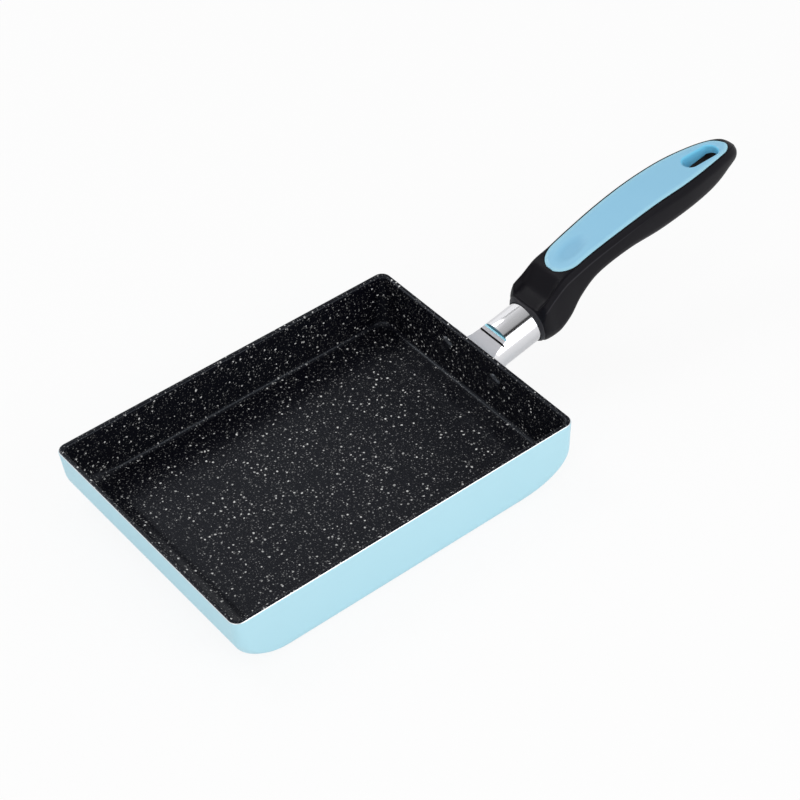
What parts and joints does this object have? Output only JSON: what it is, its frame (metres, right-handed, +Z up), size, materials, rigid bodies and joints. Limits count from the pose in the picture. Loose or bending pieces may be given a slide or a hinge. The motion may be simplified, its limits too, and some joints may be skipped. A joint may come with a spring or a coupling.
{
  "type": "rectangular omelette pan",
  "caption": "Rectangular omelette pan with speckled black non-stick inside, light blue outside, riveted metal stem and black grip with a blue inlay and hang slot.",
  "frame": {"origin": "on the underside of the flat base, midway along and across the rim", "axes": "+X from the middle of the pan down the handle, +Y across the pan, +Z up from the surface it stands on"},
  "size_m": [0.3561, 0.141, 0.0719],
  "materials": {
    "blue_enamel": "gloss",
    "speckled_coating": "satin",
    "polished_stem": "polished",
    "coated_rivet": "satin",
    "black_grip": "satin",
    "blue_inlay": "satin",
    "plain_steel": "satin"
  },
  "bodies": {
    "root": {"pan_body": "blue_enamel", "nonstick_coating": "speckled_coating", "handle_bracket": "polished_stem", "rivet_left": "coated_rivet", "rivet_right": "coated_rivet", "grip": "black_grip", "grip_inlay": "blue_inlay", "grip_screw": "plain_steel", "screw_washer": "plain_steel"}
  },
  "joints": []
}
